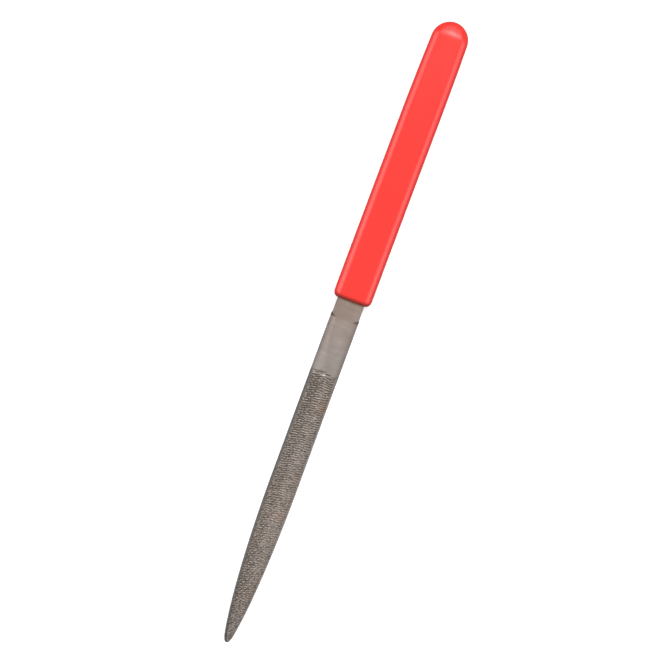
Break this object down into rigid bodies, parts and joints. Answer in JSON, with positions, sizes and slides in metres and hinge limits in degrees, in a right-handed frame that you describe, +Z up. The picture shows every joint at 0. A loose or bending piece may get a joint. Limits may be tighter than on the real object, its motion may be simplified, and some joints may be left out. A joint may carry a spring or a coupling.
{
  "type": "farrier rasp",
  "caption": "Slim half-round hand rasp: tapering toothed steel blade with a smooth shank and a soft red dipped grip.",
  "frame": {"origin": "under the middle of the whole tool, on the surface that the grip's lower broad face rests on", "axes": "+X runs from the point to the butt of the grip, +Z is up out of the round toothed side, and +Y is to one side"},
  "size_m": [0.215, 0.013, 0.0063],
  "materials": {
    "file_steel": "bare hardened file steel, satin, warm grey, with dark tooth gullets",
    "red_pvc": "soft dipped PVC, smooth, semi-gloss, coral red"
  },
  "bodies": {
    "root": {"rasp_blade": "file_steel", "handle_grip": "red_pvc"}
  },
  "joints": []
}
